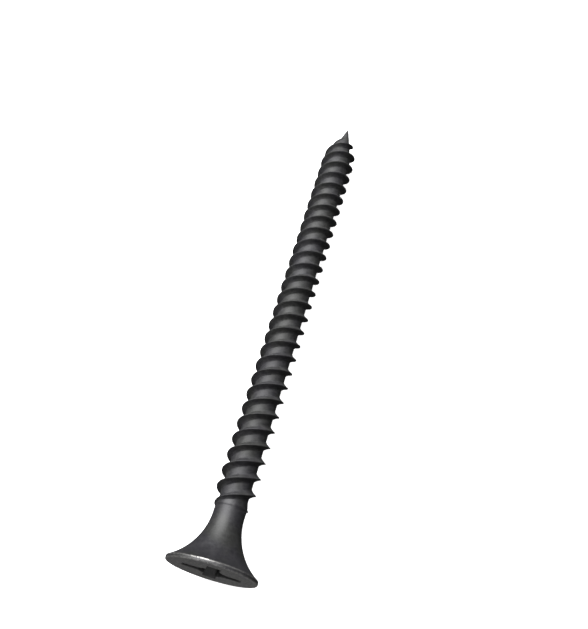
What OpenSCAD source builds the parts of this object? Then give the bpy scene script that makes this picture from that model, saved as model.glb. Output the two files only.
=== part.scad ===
// Bugle-head wood screw with a sharp point and a two-start thread.
// The screw lies along Y: its head face is at y = 0 and its tip points to +Y.

/* [Overall] */
// Length from the head face to the tip
screw_len = 53.5; // [35:0.5:90]

/* [Head] */
// Diameter over the rim
head_d = 8.5; // [7.5:0.1:11]
// Thickness of the rim band
rim_h = 0.4; // [0.3:0.05:1.5]
// Rounding of the rim's two edges
rim_round = 0.1; // [0.04:0.02:0.14]
// Radius of the trumpet-shaped curve under the head
flare_r = 5.7; // [4.2:0.1:8]
// Diameter of the plain shank
shank_d = 2.95; // [2.6:0.05:3.5]
// Length of the plain shank between the curve and the first thread rise
shank_len = 0.9; // [0.5:0.1:12]

/* [Driver recess] */
// Width across the four wings at the face
recess_d = 5.4; // [4:0.1:5.8]
// Width across the wings at their floor
recess_floor_d = 2.5; // [2:0.1:3]
// Thickness of one wing
wing_w = 1.15; // [0.8:0.05:1.4]
// Depth of the wings
wing_depth = 2.3; // [1.5:0.1:2.6]
// Diameter of the round middle at the face
hub_d = 2.7; // [1.8:0.1:2.9]
// Diameter of the round middle at the floor of the wings
hub_floor_d = 2; // [1.2:0.1:2.2]
// Depth of the cone below the wings
hub_cone_h = 0.6; // [0.2:0.1:0.8]
// Turn of the recess about the screw's axis
recess_turn = 12; // [0:1:89]

/* [Thread] */
// Diameter over the crests
thread_d = 3.85; // [3.6:0.05:4.8]
// Diameter of the core between the ridges
core_d = 2.7; // [2.1:0.05:2.8]
// Distance from one crest to the next, which is half of the lead
crest_gap = 1.6; // [1.3:0.05:2.4]
// Width of the flat on a crest
crest_w = 0.07; // [0.04:0.01:0.15]
// Base of a ridge on the side towards the head, from the crest's middle
flank_head = 0.38; // [0.2:0.02:0.6]
// Base of a ridge on the side towards the tip, from the crest's middle
flank_tip = 0.46; // [0.2:0.02:0.6]
// Length over which the thread rises out of the shank
rise_len = 2.3; // [1:0.1:6]
// Length of the shoulder from the shank down to the core
shoulder_len = 0.7; // [0.3:0.1:1.5]
// Distance from the head face to where a crest first crosses the top, which sets the thread's turn
first_crest_y = 6.7; // [5.5:0.05:9]

/* [Point] */
// Length of the tapering point
point_len = 4.8; // [3.5:0.1:7]
// Diameter of the blunt spot on the tip
tip_d = 0.08; // [0.04:0.02:0.3]
// Length of the bare cone in front of the last ridge
bare_tip_len = 1.9; // [1:0.1:3]
// Length over which the ridges die out before the bare cone
fade_len = 1.2; // [0.6:0.1:4]

/* [Hidden] */
$fn = 96;
steel = [0.24, 0.24, 0.25];
light_steel = [0.42, 0.42, 0.45];

head_r = head_d / 2;
shank_r = shank_d / 2;
core_r = core_d / 2;
thread_r = thread_d / 2;
tip_r = tip_d / 2;

// The flare is one arc that leaves the shank smoothly and meets the back of the rim.
seat_r = head_r - rim_round;
flare_len = sqrt(pow(flare_r, 2) - pow(flare_r - (seat_r - shank_r), 2));
head_len = rim_h + flare_len;
shank_end = head_len + shank_len;
core_start = shank_end + shoulder_len;
point_start = screw_len - point_len;

// The thread rises just behind the flare and dies out before the bare tip.
lead = 2 * crest_gap;
thread_start = head_len;
thread_end = screw_len - bare_tip_len;
steps_per_turn = 20;
step_y = lead / steps_per_turn;
steps = floor((thread_end - thread_start) / step_y);
ridge_h = thread_r - core_r;
// The thinnest height a ridge has at its two ends
feather = 0.03;
start_turn = 360 * (thread_start + flank_head - first_crest_y) / lead;
// The flat facets under a ridge stay just outside the round core.
base_lift = 1 / cos(180 / steps_per_turn);
// Small overlap of a cutter past the face that it opens
cut = 0.5;

// Radius of the bare screw, without its ridges, at the distance y from the face.
function body_r(y) =
    y < shank_end ? shank_r :
    y < core_start ? shank_r + (core_r - shank_r) * (y - shank_end) / shoulder_len :
    y < point_start ? core_r :
    core_r + (tip_r - core_r) * (y - point_start) / point_len;

// Height of a ridge over the bare screw: it rises from the shank and fades on the point.
function rise(y) = sin(90 * min(1, max(0, (y - thread_start) / rise_len)));
function fade(y) = min(1, max(0, (thread_end - y) / fade_len));
function ridge_top(y) = shank_r + (thread_r - shank_r) * rise(y);
function ridge_height(y) =
    y < point_start - fade_len ? max(feather, ridge_top(y) - body_r(y)) :
    max(feather, ridge_h * fade(y));

// A place on the screw's outside: distance y, radius r and turn about the axis.
function spot(y, r, turn) = [r * sin(turn), y, r * cos(turn)];

// The four corners of a ridge's section at step i.
function section(i, turn_0) =
    let (
        y = thread_start + flank_head + i * step_y,
        turn = turn_0 + i * 360 / steps_per_turn,
        h = ridge_height(y),
        share = min(1, h / ridge_h),
        y_head = y - crest_w / 2 - (flank_head - crest_w / 2) * share,
        y_tip = y + crest_w / 2 + (flank_tip - crest_w / 2) * share,
        top = body_r(y) + h
    )
    [
        spot(y_head, body_r(y_head) * base_lift, turn),
        spot(y - crest_w / 2, top, turn),
        spot(y + crest_w / 2, top, turn),
        spot(y_tip, body_r(y_tip) * base_lift, turn)
    ];

module head() {
    color(steel)
    difference() {
        rotate([-90, 0, 0])
        rotate_extrude()
        head_outline();
        recess();
    }
}

// Half of the head's section: x is the radius and y the distance from the face.
module head_outline() {
    square([seat_r, rim_h]);
    translate([0, rim_round])
    square([head_r, rim_h - 2 * rim_round]);
    for (y = [rim_round, rim_h - rim_round])
        translate([seat_r, y])
        circle(rim_round);
    difference() {
        square([seat_r, head_len]);
        translate([shank_r + flare_r, head_len])
        circle(flare_r);
    }
}

// Cross recess: two crossed wings and a round middle that ends in a cone.
module recess() {
    for (turn = [0, 90])
        rotate([0, recess_turn + turn, 0])
        translate([0, 0, -wing_w / 2])
        linear_extrude(wing_w)
        wing_outline();
    rotate([-90, 0, 0])
    rotate_extrude()
    hub_outline();
}

module wing_outline() {
    slope = (recess_d - recess_floor_d) / 2 / wing_depth;
    mouth = recess_d / 2 + slope * cut;
    polygon([
        [-mouth, -cut],
        [mouth, -cut],
        [recess_floor_d / 2, wing_depth],
        [-recess_floor_d / 2, wing_depth]
    ]);
}

module hub_outline() {
    slope = (hub_d - hub_floor_d) / 2 / wing_depth;
    polygon([
        [0, -cut],
        [hub_d / 2 + slope * cut, -cut],
        [hub_floor_d / 2, wing_depth],
        [0, wing_depth + hub_cone_h]
    ]);
}

module shank() {
    color(light_steel)
    rotate([-90, 0, 0])
    rotate_extrude()
    polygon([
        [0, head_len],
        [shank_r, head_len],
        [shank_r, shank_end],
        [core_r, core_start],
        [0, core_start]
    ]);
}

module core() {
    color(steel)
    translate([0, core_start, 0])
    rotate([-90, 0, 0])
    cylinder(r = core_r, h = point_start - core_start);
}

module point() {
    color(light_steel)
    translate([0, point_start, 0])
    rotate([-90, 0, 0])
    cylinder(r1 = core_r, r2 = tip_r, h = point_len);
}

// One helical ridge, from the shank to the point.
module ridge(turn_0) {
    last = steps - ceil((flank_head + flank_tip) / step_y);
    corners = [for (i = [0:last]) each section(i, turn_0)];
    sides = [
        for (i = [0:last - 1], j = [0:3])
        let (
            a = 4 * i + j,
            b = 4 * i + (j + 1) % 4
        )
        each [[a, b, a + 4], [b, b + 4, a + 4]]
    ];
    near_cap = [[0, 2, 1], [0, 3, 2]];
    end = 4 * last;
    far_cap = [[end, end + 1, end + 2], [end, end + 2, end + 3]];
    polyhedron(points = corners, faces = concat(sides, near_cap, far_cap));
}

module thread_a() {
    color(light_steel)
    ridge(start_turn);
}

module thread_b() {
    color(steel)
    ridge(start_turn + 180);
}

head();
shank();
core();
point();
thread_a();
thread_b();
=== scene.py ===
"""A black phosphated wood screw with a trumpet-shaped head, a cross recess and a fine two-start thread.

The screw lies along Y with its head face at y = 0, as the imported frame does. Sizes are in millimetres and
are turned into metres where a mesh, a modifier or a material takes them.
"""

import math

import bmesh
import bpy
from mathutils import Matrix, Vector, noise


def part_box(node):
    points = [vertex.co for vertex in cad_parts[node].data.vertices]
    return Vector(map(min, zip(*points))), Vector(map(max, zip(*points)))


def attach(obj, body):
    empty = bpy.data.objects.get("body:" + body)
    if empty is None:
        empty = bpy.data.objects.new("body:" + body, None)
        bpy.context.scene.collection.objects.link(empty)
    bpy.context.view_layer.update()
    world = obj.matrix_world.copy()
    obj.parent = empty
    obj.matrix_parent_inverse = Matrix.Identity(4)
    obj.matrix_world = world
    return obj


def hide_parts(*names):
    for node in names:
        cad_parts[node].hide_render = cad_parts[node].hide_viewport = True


MM = 0.001

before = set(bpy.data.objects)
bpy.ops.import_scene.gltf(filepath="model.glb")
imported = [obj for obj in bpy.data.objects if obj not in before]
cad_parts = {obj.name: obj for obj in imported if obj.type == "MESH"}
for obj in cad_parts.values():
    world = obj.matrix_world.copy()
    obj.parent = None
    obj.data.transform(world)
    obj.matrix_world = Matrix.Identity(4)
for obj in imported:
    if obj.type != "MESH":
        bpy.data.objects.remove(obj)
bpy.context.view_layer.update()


def reach(node):
    """How far a node reaches from the screw's axis, and where it starts and ends along it."""
    low, high = (Vector(corner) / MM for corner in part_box(node))
    return max(-low.x, high.x), low.y, high.y


# Head, shank, core and point: what the frame gives
HEAD_R, _, HEAD_LEN = reach("head")
SHANK_R, _, CORE_START = reach("shank")
CORE_R, _, POINT_START = reach("core")
TIP_Y = reach("point")[2]

# The blunt spot on the tip, and the shoulder from the shank down to the core
TIP_R = 0.04
SHOULDER_LEN = 0.7

# Rim and trumpet curve, and the rounded edge where the curve meets the rim
RIM_H = 0.4
RIM_ROUND = 0.1
FLARE_R = 5.7
CREASE_ROUND = 0.12

# Driver recess, at the face and at the floor of its wings: radius over the wings, thickness of a wing and
# radius of the round middle
RECESS_R, RECESS_FLOOR_R = 2.7, 1.25
WING_W, WING_FLOOR_W = 1.15, 0.85
HUB_R, HUB_FLOOR_R = 1.35, 1.0
WING_DEPTH = 2.3
HUB_DEPTH = 2.9
RECESS_TURN = math.radians(12)
MOUTH_ROUND = 0.1

# Thread: crests, the way along one turn, where it starts, rises, fades and ends, and its flanks
CREST_R = 1.925
CREST_W = 0.07
LEAD = 3.2
FIRST_CREST_Y = 6.7
THREAD_START = HEAD_LEN + 0.2
RISE_LEN = 2.3
BARE_TIP_LEN = 1.9
THREAD_END = TIP_Y - BARE_TIP_LEN
FADE_LEN = 1.2
HEAD_FLANK = 0.46
TIP_FLANK = 0.56

# The raised ring that the edge of the rolling dies leaves: its place, its half width and its height
DIE_EDGE_Y = 5.9
DIE_EDGE_W = 0.09
DIE_EDGE_H = 0.035

# Vertices round the head and round the turned pieces
HEAD_SIDES = 720
TURNED_SIDES = 160

# Coating as worked: how fine its mottling is, its darkest and palest tone, its least roughness, and the lead
# that its streaks follow
ROUND_FINISH = {"mottle": 4200, "dark": 0.012, "pale": 0.034, "rough": 0.42, "lead": 0.0}
ROLLED_FINISH = {"mottle": 2600, "dark": 0.01, "pale": 0.048, "rough": 0.56, "lead": LEAD}

# Linear colours
VIOLET_CAST = (0.026, 0.0245, 0.033, 1)
OLIVE_CAST = (0.028, 0.029, 0.027, 1)
# Painted shade: the near-black colour that the recess is darkened to
RECESS_PAINTED_SHADE = (0.004, 0.004, 0.004, 1)
# Rubbed steel, which also serves as painted highlight on the head's crease and painted reflection on its face
RUBBED_STEEL_AND_HIGHLIGHT = (0.46, 0.45, 0.43, 1)
COATING_IOR = 1.55


# ---------------------------------------------------------------- small helpers


def smooth_step(t):
    t = min(1.0, max(0.0, t))
    return t * t * (3 - 2 * t)


def soft_min(a, b, k):
    """The smaller of two values, with a fillet of about k where they meet."""
    h = min(1.0, max(0.0, 0.5 + 0.5 * (b - a) / k))
    return b + (a - b) * h - k * h * (1 - h)


def soft_max(a, b, k):
    return -soft_min(-a, -b, k)


def new_piece(name, bm, material, sharp_rings=()):
    """Turns a mesh in millimetres into a smooth-shaded piece in metres."""
    bmesh.ops.scale(bm, vec=(MM, MM, MM), verts=bm.verts)
    bmesh.ops.recalc_face_normals(bm, faces=bm.faces)
    for f in bm.faces:
        f.smooth = True
    for ring in sharp_rings:
        for e in ring:
            e.smooth = False
    mesh = bpy.data.meshes.new(name)
    bm.to_mesh(mesh)
    bm.free()
    mesh.materials.append(material)
    piece = bpy.data.objects.new(name, mesh)
    bpy.context.scene.collection.objects.link(piece)
    return piece


def ring_of(bm, y, radii):
    """A closed ring round the Y axis: one vertex for each radius, evenly spaced in angle."""
    n = len(radii)
    ring = []
    for i, r in enumerate(radii):
        a = 2 * math.pi * i / n
        ring.append(bm.verts.new((r * math.sin(a), y, r * math.cos(a))))
    return ring


def bridge(bm, a, b):
    """Joins two rings by a band of quads."""
    n = len(a)
    for i in range(n):
        bm.faces.new((a[i], a[(i + 1) % n], b[(i + 1) % n], b[i]))


def cap(bm, ring, y):
    """Closes a ring with a fan about the axis."""
    middle = bm.verts.new((0, y, 0))
    n = len(ring)
    for i in range(n):
        bm.faces.new((ring[i], ring[(i + 1) % n], middle))


def ring_edges(bm, ring):
    n = len(ring)
    return [bm.edges.get((ring[i], ring[(i + 1) % n])) for i in range(n)]


def set_wear_and_painted_light(piece, wear_and_painted_light_at):
    """Stores how rubbed (up to 1, with painted highlight on the head) or how deep in painted shade (down to
    -1) each point is; the function given takes a point in millimetres.
    """
    layer = piece.data.attributes.new("wear_and_painted_light", "FLOAT", "POINT")
    for i, v in enumerate(piece.data.vertices):
        layer.data[i].value = wear_and_painted_light_at(v.co / MM)


# ---------------------------------------------------------------- material


class Nodes:
    """Short calls for building the nodes of a material or of a node group."""

    def __init__(self, tree):
        self.n = tree.nodes
        self.l = tree.links

    def put(self, socket, value):
        if isinstance(value, bpy.types.NodeSocket):
            self.l.new(value, socket)
        elif value is not None:
            socket.default_value = value

    def math(self, op, a, b=None, c=None, clamp=False):
        m = self.n.new("ShaderNodeMath")
        m.operation = op
        m.use_clamp = clamp
        for s, v in zip(m.inputs, (a, b, c)):
            self.put(s, v)
        return m.outputs[0]

    def span(self, value, lo, hi, to_lo=0.0, to_hi=1.0, smooth=True):
        m = self.n.new("ShaderNodeMapRange")
        m.interpolation_type = "SMOOTHSTEP" if smooth else "LINEAR"
        for s, v in zip(m.inputs, (value, lo, hi, to_lo, to_hi)):
            self.put(s, v)
        return m.outputs[0]

    def noise(self, vector, scale, detail=3.0, rough=0.55, distortion=0.0):
        t = self.n.new("ShaderNodeTexNoise")
        self.put(t.inputs["Vector"], vector)
        t.inputs["Scale"].default_value = scale
        t.inputs["Detail"].default_value = detail
        t.inputs["Roughness"].default_value = rough
        t.inputs["Distortion"].default_value = distortion
        return t.outputs["Fac"]

    def mix(self, factor, a, b):
        m = self.n.new("ShaderNodeMix")
        m.data_type = "RGBA"
        self.put(m.inputs[0], factor)
        self.put(m.inputs[6], a)
        self.put(m.inputs[7], b)
        return m.outputs[2]

    def vector(self, x, y, z):
        c = self.n.new("ShaderNodeCombineXYZ")
        for s, v in zip(c.inputs, (x, y, z)):
            self.put(s, v)
        return c.outputs[0]

    def bump(self, height, strength, distance, below=None):
        b = self.n.new("ShaderNodeBump")
        b.inputs["Strength"].default_value = strength
        b.inputs["Distance"].default_value = distance
        self.put(b.inputs["Height"], height)
        self.put(b.inputs["Normal"], below)
        return b.outputs[0]


def grey(tone):
    return (tone, tone, tone, 1)


def phosphate(name, finish):
    """Charcoal phosphate over steel, streaked the way the metal was worked."""
    m = bpy.data.materials.new(name)
    m.use_nodes = True
    k = Nodes(m.node_tree)
    shader = k.n["Principled BSDF"]
    where = k.n.new("ShaderNodeTexCoord").outputs["Object"]
    split = k.n.new("ShaderNodeSeparateXYZ")
    k.put(split.inputs[0], where)
    x, y, z = split.outputs
    turn = k.math("ARCTAN2", x, z)
    radius = k.math("SQRT", k.math("ADD", k.math("MULTIPLY", x, x), k.math("MULTIPLY", z, z)))

    # Streaks run along the working direction: rings on the head, the helix on the thread
    along = k.math("SUBTRACT", y, k.math("MULTIPLY", turn, finish["lead"] * MM / (2 * math.pi)))
    streak_run = 0.6 * MM
    worked = k.vector(
        k.math("MULTIPLY", k.math("SINE", turn), streak_run),
        k.math("ADD", along, k.math("MULTIPLY", radius, 0.8)),
        k.math("MULTIPLY", k.math("COSINE", turn), streak_run),
    )
    streak = k.noise(worked, 5200, 4, 0.6)
    broad = k.noise(where, 420, 3, 0.5)
    mottle = k.noise(where, finish["mottle"], 5, 0.65, 0.3)
    crystal = k.noise(where, 16000, 3, 0.7)

    # Above nought the attribute is rubbed metal, partly a painted highlight on the head; below nought it is
    # painted shade that darkens the recess
    # The stored attribute: rubbed metal, painted highlight on the head, and painted shade in the recess
    wear_and_painted_light_in = k.n.new("ShaderNodeAttribute")
    wear_and_painted_light_in.attribute_name = "wear_and_painted_light"
    wear_and_painted_light = k.math("MAXIMUM", wear_and_painted_light_in.outputs["Fac"], 0.0)
    wear_and_painted_light = k.math("MULTIPLY", wear_and_painted_light, k.span(mottle, 0.38, 0.62, 0.25, 1.0))
    recess_shade_mask = k.math("MULTIPLY", wear_and_painted_light_in.outputs["Fac"], -1.0, clamp=True)

    tone = k.math("ADD", k.math("MULTIPLY", mottle, 0.55), k.math("MULTIPLY", streak, 0.45))
    black = k.mix(k.span(tone, 0.36, 0.64), grey(finish["dark"]), grey(finish["pale"]))
    tint = k.mix(k.span(broad, 0.38, 0.62), VIOLET_CAST, OLIVE_CAST)
    # Painted shade: the colour in the recess is mixed towards near black
    base = k.mix(recess_shade_mask, k.mix(0.4, black, tint), RECESS_PAINTED_SHADE)
    # The lighter rubbed colour: real rubbing, and painted highlight on the head's crease and face
    k.put(shader.inputs["Base Color"], k.mix(wear_and_painted_light, base, RUBBED_STEEL_AND_HIGHLIGHT))

    # The struck face and the recess are duller than the rest, and rubbed spots are smoother
    satin = k.span(tone, 0.25, 0.75, finish["rough"], finish["rough"] + 0.12)
    rough = k.math("ADD", satin, k.math("MULTIPLY", wear_and_painted_light, -0.34))
    struck = k.span(y, 0.03 * MM, 0.1 * MM, 1.0, 0.0)
    rough = k.math("MULTIPLY_ADD", struck, 0.3, rough)
    k.put(shader.inputs["Roughness"], k.math("MULTIPLY_ADD", recess_shade_mask, 0.3, rough))
    metallic = k.math("MULTIPLY_ADD", recess_shade_mask, -0.2, 0.2)
    k.put(shader.inputs["Metallic"], k.math("MULTIPLY_ADD", wear_and_painted_light, 0.6, metallic))
    shader.inputs["IOR"].default_value = COATING_IOR

    fine = k.bump(crystal, 0.25, 0.012 * MM)
    lines = k.bump(streak, 0.35, 0.03 * MM, fine)
    k.put(shader.inputs["Normal"], k.bump(mottle, 0.3, 0.04 * MM, lines))
    return m


# ---------------------------------------------------------------- head


def flare_radius(y):
    """Radius of the trumpet curve at the distance y from the face."""
    d = max(0.0, HEAD_LEN - y)
    return SHANK_R + FLARE_R - math.sqrt(FLARE_R**2 - d * d)


def recess_outline(depth, grow, n):
    """Radii of the cross recess at a depth. grow widens it all round, as at the rounded mouth."""
    t = min(1.0, depth / WING_DEPTH)
    end = RECESS_R + (RECESS_FLOOR_R - RECESS_R) * t + grow
    half = (WING_W + (WING_FLOOR_W - WING_W) * t) / 2 + grow
    hub = HUB_R + (HUB_FLOOR_R - HUB_R) * t + grow
    radii = []
    for i in range(n):
        a = (2 * math.pi * i / n - RECESS_TURN) % (math.pi / 2)
        a = min(a, math.pi / 2 - a)
        side = half / max(math.sin(a), 1e-6)
        wing = soft_min(end, min(side, 50.0), 0.16)
        # A shallow ridge runs down each inner corner between the wings, as the driver's flanks need
        corner = hub * (1 - 0.06 * smooth_step((a - 0.62) / 0.16))
        radii.append(soft_max(wing, corner, 0.14))
    return radii


def make_head(material):
    """The head as one skin: the trumpet curve, the rim, the face and the recess, ring by ring."""
    n = HEAD_SIDES
    bm = bmesh.new()

    # From the shank's end up the trumpet curve to the back of the rim
    back = ring_of(bm, HEAD_LEN, [SHANK_R] * n)
    cap(bm, back, HEAD_LEN)
    ring = back
    edge = CREASE_ROUND
    turn_in = math.acos(1 - (HEAD_R - 0.5 * edge - SHANK_R) / FLARE_R)
    edge_r = HEAD_R - edge + edge * math.cos(turn_in)
    edge_y = HEAD_LEN - math.sqrt(FLARE_R**2 - (FLARE_R + SHANK_R - edge_r) ** 2)
    steps = 46
    for s in range(1, steps + 1):
        y = HEAD_LEN + (edge_y - HEAD_LEN) * math.sin(s / steps * math.pi / 2)
        above = ring_of(bm, y, [flare_radius(y)] * n)
        bridge(bm, ring, above)
        ring = above

    # Rim: the edge where the trumpet curve ends, the narrow band, then the rounded edge of the face, all
    # slightly dented
    dent_depth = 0.012
    middle_y = edge_y - edge * math.sin(turn_in)
    rim = []
    for s in range(1, 9):
        a = turn_in * (1 - s / 8)
        rim.append((HEAD_R - edge + edge * math.cos(a), middle_y + edge * math.sin(a)))
    rim.append((HEAD_R, (middle_y + RIM_ROUND) / 2))
    for s in range(0, 9):
        a = math.pi / 2 * s / 8
        rim.append((HEAD_R - RIM_ROUND + RIM_ROUND * math.cos(a), RIM_ROUND - RIM_ROUND * math.sin(a)))
    for r, y in rim:
        around = []
        for i in range(n):
            a = 2 * math.pi * i / n
            dent = dent_depth * noise.noise(Vector((math.sin(a) * 3, y * 1.5, math.cos(a) * 3)))
            around.append(min(HEAD_R, r - dent_depth / 2 + dent))
        new = ring_of(bm, y, around)
        bridge(bm, ring, new)
        ring = new

    # Face: from the rim in to the mouth of the recess, very slightly dished
    face_edge = HEAD_R - RIM_ROUND
    mouth = recess_outline(0.0, MOUTH_ROUND, n)
    dish = 0.03
    for t in (0.12, 0.3, 0.5, 0.7, 0.86, 0.96, 1.0):
        radii = [face_edge + (m - face_edge) * t for m in mouth]
        new = ring_of(bm, dish * math.sin(t * math.pi) * (1 - t), radii)
        bridge(bm, ring, new)
        ring = new

    # Recess: the rounded mouth, the drafted walls, a filleted floor and the cone in the middle
    mouth_depth, fillet_depth, floor_round = 0.09, 0.15, 0.14
    wall_steps = 12
    wall_depth = WING_DEPTH - mouth_depth - fillet_depth
    levels = [(0.012, 0.055), (0.04, 0.024), (mouth_depth, 0.0)]
    levels += [(mouth_depth + wall_depth * s / wall_steps, 0.0) for s in range(1, wall_steps + 1)]
    for depth, grow in levels:
        new = ring_of(bm, depth, recess_outline(depth, grow, n))
        bridge(bm, ring, new)
        ring = new
    floor = recess_outline(WING_DEPTH, 0.0, n)
    for shrink, depth in ((0.02, WING_DEPTH - 0.08), (0.06, WING_DEPTH - 0.02), (floor_round, WING_DEPTH)):
        new = ring_of(bm, depth, [r - shrink for r in floor])
        bridge(bm, ring, new)
        ring = new
    for t in (0.35, 0.7, 0.9):
        swell = HUB_FLOOR_R * 0.8 * (1 - t) * t
        radii = [(r - floor_round) * (1 - t) + swell + 0.02 for r in floor]
        new = ring_of(bm, WING_DEPTH + (HUB_DEPTH - WING_DEPTH) * t, radii)
        bridge(bm, ring, new)
        ring = new
    cap(bm, ring, HUB_DEPTH)

    piece = new_piece("bugle_head", bm, material, [ring_edges(bm, back)])

    # The face reaches this deep, and the crease is rubbed and painted with a highlight round this circle: its
    # radius, place and half width
    face_depth = 0.02
    crease_r, crease_y, crease_w = HEAD_R - 0.015, RIM_H - 0.09, 0.1

    def wear_and_painted_light_at(p):
        r = math.hypot(p.x, p.z)
        inside = r < min(RECESS_R + MOUTH_ROUND, flare_radius(p.y) - 0.3)
        # Inside the recess: painted shade, full from 0.08 mm down
        if inside and face_depth < p.y < HUB_DEPTH + 0.1:
            return -smooth_step(p.y / 0.08)

        # The crease behind the rim is rubbed, and painted lighter in three arcs, one of them on top where it
        # stands for the highlight
        crease = max(0.0, 1 - math.hypot(r - crease_r, p.y - crease_y) / crease_w)
        arcs = max(0.0, math.cos(3 * math.atan2(p.x + 0.3, p.z))) ** 3
        front = max(0.0, 1 - math.hypot(r - HEAD_R, p.y) / 0.16)
        # The whole face is lifted a little toward rubbed steel: partly rubbed, partly a painted reflection
        face = 0.14 if p.y < face_depth else 0.0
        return min(1.0, crease * (0.35 + 0.9 * arcs) + 0.25 * front + face)

    set_wear_and_painted_light(piece, wear_and_painted_light_at)
    return piece


# ---------------------------------------------------------------- shank, core and point


def body_radius(y):
    """Radius of the bare screw behind the head, with the dies' raised ring but without the ridges."""
    r = SHANK_R + (CORE_R - SHANK_R) * smooth_step((y - CORE_START + SHOULDER_LEN) / SHOULDER_LEN)
    if y > POINT_START:
        r += (TIP_R - CORE_R) * (y - POINT_START) / (TIP_Y - POINT_START)
    past = (y - DIE_EDGE_Y) / DIE_EDGE_W
    return r + DIE_EDGE_H * math.exp(-past * past)


def make_turned(name, stops, material, unevenness):
    """A round piece on the screw's axis: one ring for each stop, closed at both ends."""
    bm = bmesh.new()
    rings = []
    for y in stops:
        # The humps die out towards both ends, so that neighbours meet edge to edge
        keep = max(0.0, min(1.0, (y - stops[0]) / 0.5, (stops[-1] - y) / 0.5))
        around = []
        for i in range(TURNED_SIDES):
            a = 2 * math.pi * i / TURNED_SIDES
            hump = noise.noise(Vector((math.sin(a) * 0.9, y * 0.8, math.cos(a) * 0.9)))
            around.append(body_radius(y) + unevenness * hump * keep)
        rings.append(ring_of(bm, y, around))
    for a, b in zip(rings, rings[1:]):
        bridge(bm, a, b)
    cap(bm, rings[0], stops[0])
    cap(bm, rings[-1], stops[-1])
    sharp = [ring_edges(bm, rings[0]), ring_edges(bm, rings[-1])]
    piece = new_piece(name, bm, material, sharp)
    rubbed_tip_len = 0.7
    set_wear_and_painted_light(piece, lambda p: 0.6 * smooth_step((p.y - TIP_Y + rubbed_tip_len) / rubbed_tip_len))
    return piece


def stops_between(a, b, gap):
    """Even steps from a to b, each about as long as the gap."""
    count = max(2, math.ceil((b - a) / gap))
    return [a + (b - a) * i / count for i in range(count + 1)]


# ---------------------------------------------------------------- thread, grown by Geometry Nodes


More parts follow.
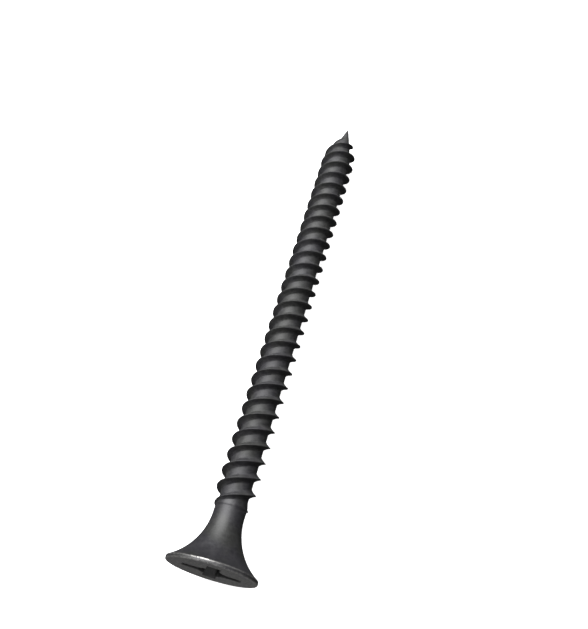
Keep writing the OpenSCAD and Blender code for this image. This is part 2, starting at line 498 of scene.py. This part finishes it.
def thread_tree():
    """A node group that grows one helical ridge from named sizes, in metres."""
    t = bpy.data.node_groups.new("rolled ridge", "GeometryNodeTree")
    t.is_modifier = True
    face = t.interface
    face.new_socket("Geometry", in_out="INPUT", socket_type="NodeSocketGeometry")
    face.new_socket("Geometry", in_out="OUTPUT", socket_type="NodeSocketGeometry")
    for name in (
        "Start",
        "End",
        "Lead",
        "First crest",
        "Turn",
        "Shank radius",
        "Core radius",
        "Crest radius",
        "Tip radius",
        "Shank end",
        "Core start",
        "Point start",
        "Tip",
        "Rise length",
        "Die edge",
        "Fade length",
        "Head flank",
        "Tip flank",
        "Crest width",
        "Sink",
        "Unevenness",
    ):
        face.new_socket(name, in_out="INPUT", socket_type="NodeSocketFloat")
    for name in ("Stations", "Section points", "Seed"):
        face.new_socket(name, in_out="INPUT", socket_type="NodeSocketInt")
    face.new_socket("Material", in_out="INPUT", socket_type="NodeSocketMaterial")

    k = Nodes(t)
    size = k.n.new("NodeGroupInput").outputs
    out = k.n.new("NodeGroupOutput")

    grid = k.n.new("GeometryNodeMeshGrid")
    grid.inputs["Size X"].default_value = 1
    grid.inputs["Size Y"].default_value = 1
    k.put(grid.inputs["Vertices X"], size["Stations"])
    k.put(grid.inputs["Vertices Y"], size["Section points"])
    split = k.n.new("ShaderNodeSeparateXYZ")
    k.put(split.inputs[0], k.n.new("GeometryNodeInputPosition").outputs[0])
    along = k.math("ADD", split.outputs[0], 0.5)
    across = k.math("ADD", split.outputs[1], 0.5)

    # The crest line: its distance from the face, and its turn about the axis
    middle = k.math("MULTIPLY_ADD", along, k.math("SUBTRACT", size["End"], size["Start"]), size["Start"])
    turns = k.math("DIVIDE", k.math("SUBTRACT", middle, size["First crest"]), size["Lead"])
    turn = k.math("MULTIPLY_ADD", turns, 2 * math.pi, size["Turn"])
    round_x, round_z = k.math("SINE", turn), k.math("COSINE", turn)

    def wobble(scale, salt):
        """Slow unevenness along the ridge, from -1 to 1."""
        tex = k.n.new("ShaderNodeTexNoise")
        tex.noise_dimensions = "4D"
        around = 2 * MM
        spot = k.vector(k.math("MULTIPLY", round_x, around), middle, k.math("MULTIPLY", round_z, around))
        k.put(tex.inputs["Vector"], spot)
        k.put(tex.inputs["W"], k.math("ADD", size["Seed"], salt))
        tex.inputs["Scale"].default_value = scale
        tex.inputs["Detail"].default_value = 2.0
        return k.math("MULTIPLY_ADD", tex.outputs["Fac"], 2.0, -1.0)

    def bare(y):
        """The bare screw's radius at a place."""
        shoulder = k.span(y, size["Shank end"], size["Core start"], size["Shank radius"], size["Core radius"])
        drop = k.math("SUBTRACT", size["Tip radius"], size["Core radius"])
        cone = k.span(y, size["Point start"], size["Tip"], 0.0, drop, smooth=False)
        return k.math("ADD", shoulder, cone)

    # Height: it rises out of the shank, is even along the core and the point, and fades near the tip
    risen = k.math("DIVIDE", k.math("SUBTRACT", middle, size["Start"]), size["Rise length"], clamp=True)
    rise = k.math("SINE", k.math("MULTIPLY", risen, math.pi / 2))
    fade = k.math("DIVIDE", k.math("SUBTRACT", size["End"], middle), size["Fade length"], clamp=True)
    full = k.math("SUBTRACT", size["Crest radius"], size["Core radius"])
    gain = k.math("SUBTRACT", size["Crest radius"], size["Shank radius"])
    top = k.math("MULTIPLY_ADD", rise, gain, size["Shank radius"])
    near = k.math("SUBTRACT", top, bare(middle))
    on_point = k.math("MULTIPLY", full, k.math("GREATER_THAN", middle, size["Point start"]))
    height = k.math("MINIMUM", k.math("MAXIMUM", near, on_point), k.math("MULTIPLY", full, fade))
    height = k.math("MAXIMUM", height, 0.0)
    height = k.math("MULTIPLY", height, k.span(middle, size["Start"], size["Die edge"]))
    height = k.math("MULTIPLY", height, k.math("MULTIPLY_ADD", wobble(900, 3.0), size["Unevenness"], 1.0))
    share = k.math("POWER", k.math("DIVIDE", height, full, clamp=True), 0.7)

    # Across the section: out over the ridge for the first four fifths, then back underneath
    over = k.math("DIVIDE", across, 0.8, clamp=True)
    under = k.math("DIVIDE", k.math("SUBTRACT", across, 0.8), 0.2, clamp=True)
    offset = k.math("SUBTRACT", k.math("MULTIPLY_ADD", over, 2.0, -1.0), k.math("MULTIPLY", under, 2.0))
    tip_side = k.math("GREATER_THAN", offset, 0.0)
    wider = k.math("SUBTRACT", size["Tip flank"], size["Head flank"])
    flank = k.math("ADD", size["Head flank"], k.math("MULTIPLY", tip_side, wider))
    sideways = k.math("MULTIPLY", offset, flank)
    land = k.math("MULTIPLY", size["Crest width"], 0.5)
    beyond = k.math("SUBTRACT", k.math("ABSOLUTE", sideways), land)
    down = k.math("DIVIDE", beyond, k.math("SUBTRACT", flank, land), clamp=True)
    shape = k.math("POWER", k.math("SUBTRACT", 1.0, down), 1.7)
    is_under = k.math("GREATER_THAN", under, 0.0)
    shape = k.math("MULTIPLY", shape, k.math("SUBTRACT", 1.0, is_under))
    belly = k.math("MULTIPLY_ADD", k.math("SINE", k.math("MULTIPLY", under, math.pi)), 4.0, 1.0)
    sunk = k.math("MULTIPLY", size["Sink"], belly)

    y = k.math("ADD", middle, k.math("MULTIPLY", sideways, share))
    sway = k.math("MULTIPLY", k.math("MULTIPLY", size["Unevenness"], 0.3 * MM), share)
    y = k.math("ADD", y, k.math("MULTIPLY", wobble(700, 11.0), sway))
    radius = k.math("ADD", bare(y), k.math("SUBTRACT", k.math("MULTIPLY", height, shape), sunk))
    place = k.vector(k.math("MULTIPLY", radius, round_x), y, k.math("MULTIPLY", radius, round_z))

    move = k.n.new("GeometryNodeSetPosition")
    k.put(move.inputs["Geometry"], grid.outputs["Mesh"])
    k.put(move.inputs["Position"], place)
    keep = k.n.new("GeometryNodeStoreNamedAttribute")
    keep.data_type = "FLOAT"
    keep.domain = "POINT"
    keep.inputs["Name"].default_value = "wear_and_painted_light"
    k.put(keep.inputs["Geometry"], move.outputs["Geometry"])
    rubbed = k.math("MULTIPLY", k.math("MULTIPLY_ADD", wobble(500, 23.0), 0.7, 0.6, clamp=True), share)
    k.put(keep.inputs["Value"], k.math("MULTIPLY", k.span(shape, 0.8, 1.0), rubbed))
    join = k.n.new("GeometryNodeMergeByDistance")
    k.put(join.inputs["Geometry"], keep.outputs["Geometry"])
    join.inputs["Distance"].default_value = 0.0004 * MM
    smooth = k.n.new("GeometryNodeSetShadeSmooth")
    k.put(smooth.inputs["Geometry"], join.outputs["Geometry"])
    real = k.n.new("GeometryNodeRealizeInstances")
    k.put(real.inputs[0], smooth.outputs[0])
    paint = k.n.new("GeometryNodeSetMaterial")
    k.put(paint.inputs["Geometry"], real.outputs[0])
    k.put(paint.inputs["Material"], size["Material"])
    k.put(out.inputs[0], paint.outputs[0])
    return t


def make_ridge(name, tree, turn, seed, material):
    """Grows one ridge by the node group and keeps it as a plain mesh."""
    sizes = {
        "Start": THREAD_START * MM,
        "End": THREAD_END * MM,
        "Lead": LEAD * MM,
        "First crest": FIRST_CREST_Y * MM,
        "Turn": turn,
        "Shank radius": SHANK_R * MM,
        "Core radius": CORE_R * MM,
        "Crest radius": CREST_R * MM,
        "Tip radius": TIP_R * MM,
        "Shank end": (CORE_START - SHOULDER_LEN) * MM,
        "Core start": CORE_START * MM,
        "Point start": POINT_START * MM,
        "Tip": TIP_Y * MM,
        "Rise length": RISE_LEN * MM,
        "Die edge": DIE_EDGE_Y * MM,
        "Fade length": FADE_LEN * MM,
        "Head flank": HEAD_FLANK * MM,
        "Tip flank": TIP_FLANK * MM,
        "Crest width": CREST_W * MM,
        "Sink": 0.008 * MM,
        "Unevenness": 0.05,
        "Stations": 1160,
        "Section points": 31,
        "Seed": seed,
        "Material": material,
    }
    carrier = bpy.data.objects.new(name + "_rule", bpy.data.meshes.new(name + "_rule"))
    bpy.context.scene.collection.objects.link(carrier)
    rule = carrier.modifiers.new("rolled ridge", "NODES")
    rule.node_group = tree
    for item in tree.interface.items_tree:
        if item.in_out == "INPUT" and item.name in sizes:
            rule[item.identifier] = sizes[item.name]
    carrier.update_tag()
    bpy.context.view_layer.update()
    graph = bpy.context.evaluated_depsgraph_get()
    mesh = bpy.data.meshes.new_from_object(carrier.evaluated_get(graph), depsgraph=graph)
    mesh.name = name
    carrier.modifiers.clear()
    bpy.data.objects.remove(carrier)
    bm = bmesh.new()
    bm.from_mesh(mesh)
    bmesh.ops.dissolve_degenerate(bm, dist=1e-9, edges=bm.edges)
    bmesh.ops.recalc_face_normals(bm, faces=bm.faces)
    bm.to_mesh(mesh)
    bm.free()
    ridge = bpy.data.objects.new(name, mesh)
    bpy.context.scene.collection.objects.link(ridge)
    return ridge


# ---------------------------------------------------------------- floor, light and camera


def pale_paper():
    """The surface of the floor and the backdrop: matt, and as bright as white paper."""
    m = bpy.data.materials.new("pale floor")
    m.use_nodes = True
    shader = m.node_tree.nodes["Principled BSDF"]
    shader.inputs["Base Color"].default_value = grey(0.8)
    shader.inputs["Roughness"].default_value = 0.9
    shader.inputs["Specular IOR Level"].default_value = 0.1
    shader.inputs["Emission Color"].default_value = grey(1)
    shader.inputs["Emission Strength"].default_value = 0.85
    return m


def stage_mesh(name, bm, material):
    """An object, with a mesh in metres, that the camera sees but that doesn't light the screw."""
    mesh = bpy.data.meshes.new(name)
    bm.to_mesh(mesh)
    bm.free()
    mesh.materials.append(material)
    thing = bpy.data.objects.new(name, mesh)
    bpy.context.scene.collection.objects.link(thing)
    thing.visible_glossy = False
    thing.visible_diffuse = False
    return thing


def make_floor():
    """A pale floor that the screw lies on by its rim and its last full crest, and a backdrop."""
    paper = pale_paper()
    rim_y, crest_y = RIM_H - RIM_ROUND, THREAD_END - FADE_LEN
    slope = math.atan((HEAD_R - CREST_R) / (crest_y - rim_y))
    floor_gap = 0.02
    bm = bmesh.new()
    bmesh.ops.create_grid(bm, x_segments=2, y_segments=2, size=1.5)
    floor = stage_mesh("floor", bm, paper)
    floor.rotation_euler.x = slope
    floor.location = (0, rim_y * MM, -(HEAD_R + floor_gap) * MM / math.cos(slope))

    # A wide dome closes the view beyond the floor and casts no shade
    bm = bmesh.new()
    bmesh.ops.create_uvsphere(bm, u_segments=64, v_segments=32, radius=1.4)
    dome = stage_mesh("backdrop", bm, paper)
    dome.visible_shadow = False


def add_softbox(name, place, target, size, power):
    """An oblong lamp at a place, turned to a target, all in metres and watts."""
    data = bpy.data.lights.new(name, "AREA")
    data.shape = "RECTANGLE"
    data.size, data.size_y = size
    data.energy = power
    lamp = bpy.data.objects.new(name, data)
    lamp.location = place
    lamp.rotation_euler = (Vector(target) - Vector(place)).to_track_quat("-Z", "Y").to_euler()
    bpy.context.scene.collection.objects.link(lamp)
    return data


def make_light():
    """One large softbox above the tip side, a weak lamp on the face and a narrow one on the tip."""
    world = bpy.data.worlds.new("studio")
    bpy.context.scene.world = world
    world.use_nodes = True
    back = world.node_tree.nodes["Background"]
    back.inputs["Color"].default_value = grey(1)
    back.inputs["Strength"].default_value = 0.07

    # Name, place, target, size and power of each lamp
    add_softbox("top_softbox", (-0.11, 0.14, 0.27), (0, 0.02, 0), (0.34, 0.34), 3.1)
    add_softbox("front_fill", (0, -0.3, 0), (0, 0, 0), (0.1, 0.03), 0.68)
    tip_fill = add_softbox("tip_fill", (0.05, 0.004, 0.2), (0, 0.056, 0), (0.08, 0.08), 0.007)
    tip_fill.spread = math.radians(28)
    bpy.context.scene.view_settings.view_transform = "Standard"


def make_camera():
    """Looks down on the screw from its head side, close up, so that the far tip is much smaller."""
    # In metres and in degrees
    place = (0.011202, -0.010784, 0.069145)
    turn_deg = (29.618, 0.627, 14.983)
    data = bpy.data.cameras.new("camera")
    data.sensor_width = 36
    data.lens = 43.61
    data.clip_start = 0.005
    data.clip_end = 10
    camera = bpy.data.objects.new("camera", data)
    camera.location = place
    camera.rotation_euler = [math.radians(a) for a in turn_deg]
    bpy.context.scene.collection.objects.link(camera)
    bpy.context.scene.camera = camera


# ---------------------------------------------------------------- the screw

make_camera()
make_floor()
make_light()

head_finish = phosphate("phosphated head", ROUND_FINISH)
thread_finish = phosphate("phosphated thread", ROLLED_FINISH)

head = make_head(head_finish)
shank = make_turned("plain_shank", stops_between(HEAD_LEN, CORE_START, 0.06), head_finish, 0.006)
core = make_turned("thread_core", stops_between(CORE_START, POINT_START, 0.12), thread_finish, 0.012)
point = make_turned("sharp_point", stops_between(POINT_START, TIP_Y, 0.08), thread_finish, 0.0)
tree = thread_tree()
ridge_a = make_ridge("thread_ridge_a", tree, 0.0, 1, thread_finish)
ridge_b = make_ridge("thread_ridge_b", tree, math.pi, 2, thread_finish)

for piece, node in (
    (head, "head"),
    (shank, "shank"),
    (core, "core"),
    (point, "point"),
    (ridge_a, "thread_a"),
    (ridge_b, "thread_b"),
):
    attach(piece, "root")
    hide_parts(node)
